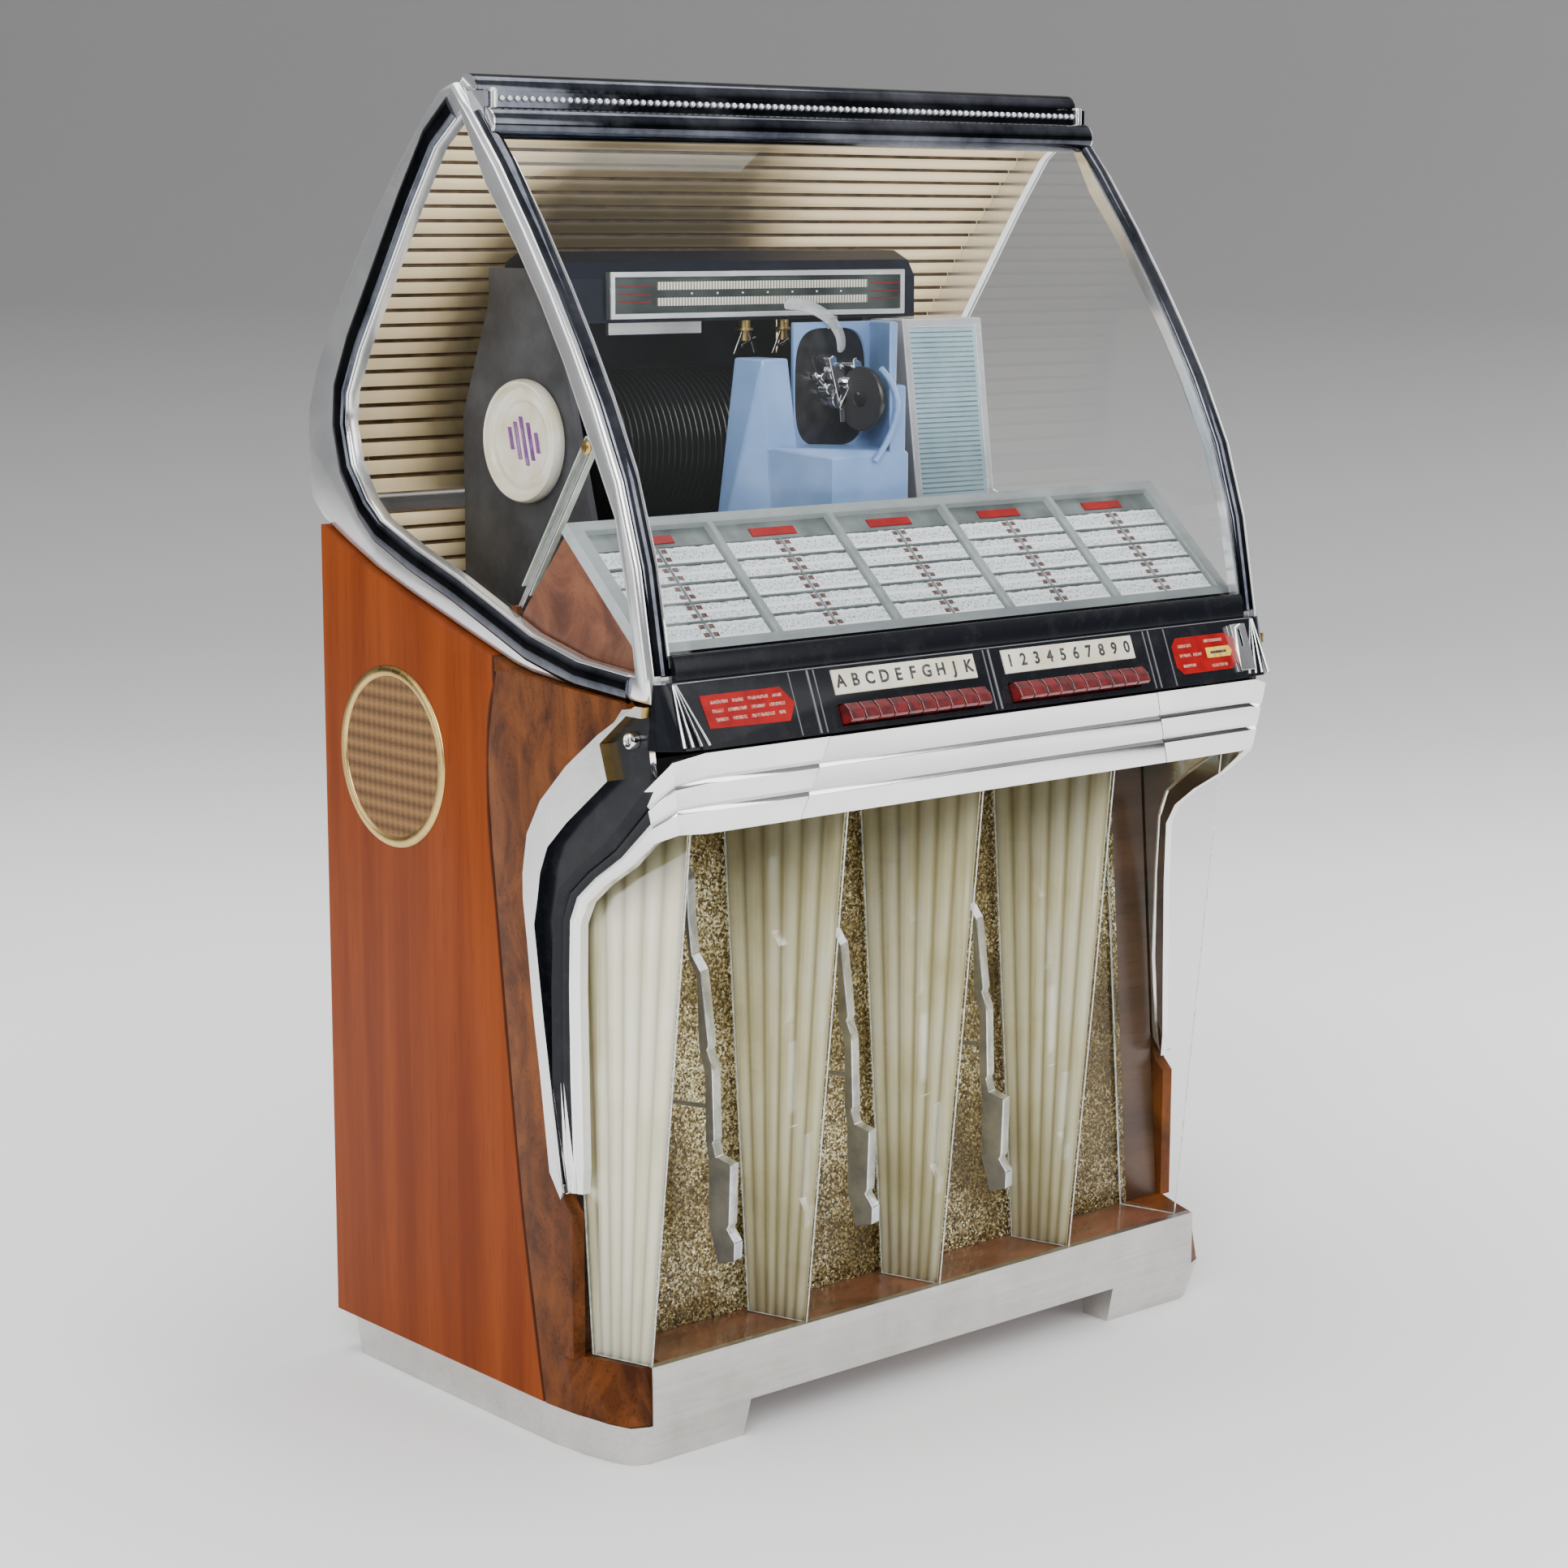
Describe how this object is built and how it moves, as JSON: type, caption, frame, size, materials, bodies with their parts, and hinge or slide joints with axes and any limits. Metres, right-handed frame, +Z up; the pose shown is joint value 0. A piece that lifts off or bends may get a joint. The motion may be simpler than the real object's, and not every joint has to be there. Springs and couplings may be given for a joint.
{
  "type": "jukebox",
  "caption": "Floor-standing jukebox: wood cabinet with chrome castings, ribbed fins over a glitter board, keyed panel, title rack, and a record mechanism under a curved glass lid.",
  "frame": {"origin": "On the floor in the middle of the footprint of the whole part's box.", "axes": "X to the right as one faces the keys, Y from the front to the back, Z up."},
  "size_m": [0.915, 0.6516, 1.42],
  "materials": {
    "walnut": "satin lacquered veneer",
    "carcass_wood": "satin lacquer",
    "alloy": "brushed",
    "chrome": "polished plating",
    "steel": "plated",
    "glitter": "gold flakes under clear lacquer",
    "ribbed_plastic": "ribbed translucent sheet",
    "clear_glass": "clear",
    "black_panel": "gloss",
    "red_plastic": "clear dark red",
    "rack_grey": "silver grey lacquer",
    "navy": "enamel",
    "vinyl": "grooved",
    "light_blue": "satin enamel",
    "teal": "satin enamel",
    "clear_plastic": "clear",
    "cream": "moulded",
    "gold_sheet": "satin gold lacquer",
    "brass": "satin",
    "dark_steel": "satin grey",
    "fibreboard": "bare hardboard"
  },
  "bodies": {
    "cabinet": {"plinth": "alloy", "side_left": "walnut", "side_right": "walnut", "carcass": "carcass_wood", "grille_board": "glitter", "ribbed_fin_1": "ribbed_plastic", "ribbed_fin_2": "ribbed_plastic", "ribbed_fin_3": "ribbed_plastic", "ribbed_fin_4": "ribbed_plastic", "end_glass": "clear_glass", "cascade_1": "chrome", "cascade_2": "chrome", "cascade_3": "chrome", "corner_casting_left": "chrome", "corner_casting_right": "chrome", "front_band": "chrome", "control_panel": "black_panel", "title_rack": "rack_grey", "mechanism_frame": "navy", "records": "vinyl", "mechanism_end_cover": "teal", "badge_disc": "cream", "speaker_ring": "brass", "woofer": "dark_steel", "side_driver": "dark_steel", "amplifier": "dark_steel", "cash_box": "dark_steel"},
    "lid": {"canopy_frame": "chrome", "side_glass_left": "clear_glass", "side_glass_right": "clear_glass", "front_glass": "clear_glass", "reflector": "gold_sheet", "rear_hood": "gold_sheet"},
    "stay_rod": {"stay_rod": "steel"},
    "stay_arm": {"stay_arm": "steel"},
    "carriage": {"carriage": "light_blue"},
    "turntable": {"turntable": "steel"},
    "tonearm": {"tonearm": "clear_plastic"},
    "lid_lock": {"lid_lock": "steel"},
    "rear_door": {"rear_door": "fibreboard"},
    "key_a": {"key_a": "red_plastic"},
    "key_b": {"key_b": "red_plastic"},
    "key_c": {"key_c": "red_plastic"},
    "key_d": {"key_d": "red_plastic"},
    "key_e": {"key_e": "red_plastic"},
    "key_f": {"key_f": "red_plastic"},
    "key_g": {"key_g": "red_plastic"},
    "key_h": {"key_h": "red_plastic"},
    "key_j": {"key_j": "red_plastic"},
    "key_k": {"key_k": "red_plastic"},
    "key_1": {"key_1": "red_plastic"},
    "key_2": {"key_2": "red_plastic"},
    "key_3": {"key_3": "red_plastic"},
    "key_4": {"key_4": "red_plastic"},
    "key_5": {"key_5": "red_plastic"},
    "key_6": {"key_6": "red_plastic"},
    "key_7": {"key_7": "red_plastic"},
    "key_8": {"key_8": "red_plastic"},
    "key_9": {"key_9": "red_plastic"},
    "key_0": {"key_0": "red_plastic"}
  },
  "joints": [
    {"name": "lid_hinge", "type": "hinge", "parent": "cabinet", "child": "lid", "pos_m": [0, 0.29425, 0.948], "axis": [-1, 0, 0], "range_deg": [0, 30]},
    {"name": "stay_pivot", "type": "hinge", "parent": "cabinet", "child": "stay_rod", "pos_m": [-0.4235, -0.03625, 0.874], "axis": [-1, 0, 0], "range_deg": [0, 36]},
    {"name": "stay_slide", "type": "slide", "parent": "stay_rod", "child": "stay_arm", "axis": [0, -0.5697, 0.8219], "range_m": [0, 0.176]},
    {"name": "carriage_slide", "type": "slide", "parent": "cabinet", "child": "carriage", "axis": [1, 0, 0], "range_m": [-0.12, 0.08]},
    {"name": "turntable_spin", "type": "hinge", "parent": "carriage", "child": "turntable", "pos_m": [0.0269, -0.06625, 1.0794], "axis": [1, 0, 0], "continuous": true},
    {"name": "tonearm_swing", "type": "hinge", "parent": "carriage", "child": "tonearm", "pos_m": [0.0085, -0.10505, 1.0129], "axis": [0, 1, 0], "range_deg": [-12, 12]},
    {"name": "lock_turn", "type": "hinge", "parent": "cabinet", "child": "lid_lock", "pos_m": [-0.4468, -0.25825, 0.77], "axis": [1, 0, 0], "range_deg": [0, 90]},
    {"name": "door_hinge", "type": "hinge", "parent": "cabinet", "child": "rear_door", "pos_m": [0.4374, 0.28005, 0], "axis": [0, 0, -1], "range_deg": [0, 88]},
    {"name": "key_a_press", "type": "slide", "parent": "cabinet", "child": "key_a", "axis": [0, 0.9291, -0.3699], "range_m": [0, 0.004], "stiffness_N_per_m": 150},
    {"name": "key_b_press", "type": "slide", "parent": "cabinet", "child": "key_b", "axis": [0, 0.9291, -0.3699], "range_m": [0, 0.004], "stiffness_N_per_m": 150},
    {"name": "key_c_press", "type": "slide", "parent": "cabinet", "child": "key_c", "axis": [0, 0.9291, -0.3699], "range_m": [0, 0.004], "stiffness_N_per_m": 150},
    {"name": "key_d_press", "type": "slide", "parent": "cabinet", "child": "key_d", "axis": [0, 0.9291, -0.3699], "range_m": [0, 0.004], "stiffness_N_per_m": 150},
    {"name": "key_e_press", "type": "slide", "parent": "cabinet", "child": "key_e", "axis": [0, 0.9291, -0.3699], "range_m": [0, 0.004], "stiffness_N_per_m": 150},
    {"name": "key_f_press", "type": "slide", "parent": "cabinet", "child": "key_f", "axis": [0, 0.9291, -0.3699], "range_m": [0, 0.004], "stiffness_N_per_m": 150},
    {"name": "key_g_press", "type": "slide", "parent": "cabinet", "child": "key_g", "axis": [0, 0.9291, -0.3699], "range_m": [0, 0.004], "stiffness_N_per_m": 150},
    {"name": "key_h_press", "type": "slide", "parent": "cabinet", "child": "key_h", "axis": [0, 0.9291, -0.3699], "range_m": [0, 0.004], "stiffness_N_per_m": 150},
    {"name": "key_j_press", "type": "slide", "parent": "cabinet", "child": "key_j", "axis": [0, 0.9291, -0.3699], "range_m": [0, 0.004], "stiffness_N_per_m": 150},
    {"name": "key_k_press", "type": "slide", "parent": "cabinet", "child": "key_k", "axis": [0, 0.9291, -0.3699], "range_m": [0, 0.004], "stiffness_N_per_m": 150},
    {"name": "key_1_press", "type": "slide", "parent": "cabinet", "child": "key_1", "axis": [0, 0.9291, -0.3699], "range_m": [0, 0.004], "stiffness_N_per_m": 150},
    {"name": "key_2_press", "type": "slide", "parent": "cabinet", "child": "key_2", "axis": [0, 0.9291, -0.3699], "range_m": [0, 0.004], "stiffness_N_per_m": 150},
    {"name": "key_3_press", "type": "slide", "parent": "cabinet", "child": "key_3", "axis": [0, 0.9291, -0.3699], "range_m": [0, 0.004], "stiffness_N_per_m": 150},
    {"name": "key_4_press", "type": "slide", "parent": "cabinet", "child": "key_4", "axis": [0, 0.9291, -0.3699], "range_m": [0, 0.004], "stiffness_N_per_m": 150},
    {"name": "key_5_press", "type": "slide", "parent": "cabinet", "child": "key_5", "axis": [0, 0.9291, -0.3699], "range_m": [0, 0.004], "stiffness_N_per_m": 150},
    {"name": "key_6_press", "type": "slide", "parent": "cabinet", "child": "key_6", "axis": [0, 0.9291, -0.3699], "range_m": [0, 0.004], "stiffness_N_per_m": 150},
    {"name": "key_7_press", "type": "slide", "parent": "cabinet", "child": "key_7", "axis": [0, 0.9291, -0.3699], "range_m": [0, 0.004], "stiffness_N_per_m": 150},
    {"name": "key_8_press", "type": "slide", "parent": "cabinet", "child": "key_8", "axis": [0, 0.9291, -0.3699], "range_m": [0, 0.004], "stiffness_N_per_m": 150},
    {"name": "key_9_press", "type": "slide", "parent": "cabinet", "child": "key_9", "axis": [0, 0.9291, -0.3699], "range_m": [0, 0.004], "stiffness_N_per_m": 150},
    {"name": "key_0_press", "type": "slide", "parent": "cabinet", "child": "key_0", "axis": [0, 0.9291, -0.3699], "range_m": [0, 0.004], "stiffness_N_per_m": 150}
  ],
  "couplings": [
    {"joint": "stay_pivot", "follows": "lid_hinge", "ratio": 1.172},
    {"joint": "stay_slide", "follows": "lid_hinge", "m_per_rad": 0.3323}
  ]
}
